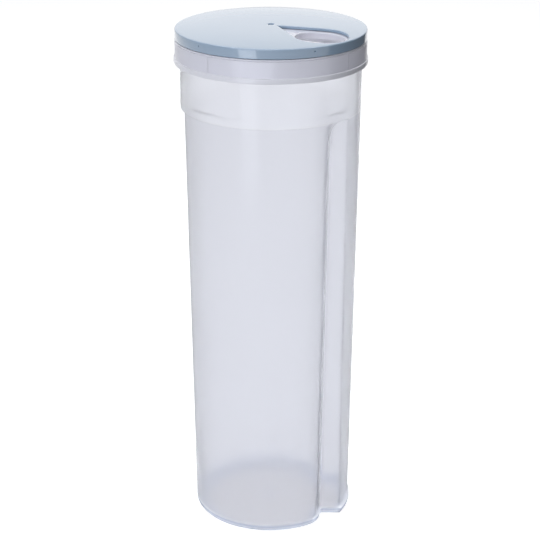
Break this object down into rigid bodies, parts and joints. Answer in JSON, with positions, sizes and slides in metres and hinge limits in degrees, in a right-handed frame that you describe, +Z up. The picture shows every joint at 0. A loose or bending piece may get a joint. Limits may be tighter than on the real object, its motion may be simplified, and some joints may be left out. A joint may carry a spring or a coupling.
{
  "type": "dry food canister",
  "caption": "Tall frosted canister for dry food, with a grip spine and a press-on lid whose turning dial opens and closes a pour hole.",
  "frame": {"origin": "centre of the foot, on the standing plane", "axes": "+Z up along the canister, +X towards the grip spine"},
  "size_m": [0.1012, 0.1012, 0.276],
  "materials": {
    "frosted_plastic": "frosted translucent moulding, faintly blue",
    "white_plastic": "smooth white moulding",
    "seal_rubber": "soft translucent silicone",
    "blue_plastic": "smooth pale blue-grey moulding"
  },
  "bodies": {
    "jar": {"canister": "frosted_plastic"},
    "lid": {"lid_base": "white_plastic", "seal_ring": "seal_rubber"},
    "dial": {"dial": "blue_plastic"}
  },
  "joints": [
    {"name": "lid_lift", "type": "slide", "parent": "jar", "child": "lid", "axis": [0, 0, 1], "range_m": [0, 0.04]},
    {"name": "dial_turn", "type": "hinge", "parent": "lid", "child": "dial", "pos_m": [0, 0, 0.272], "axis": [0, 0, 1], "continuous": true}
  ]
}
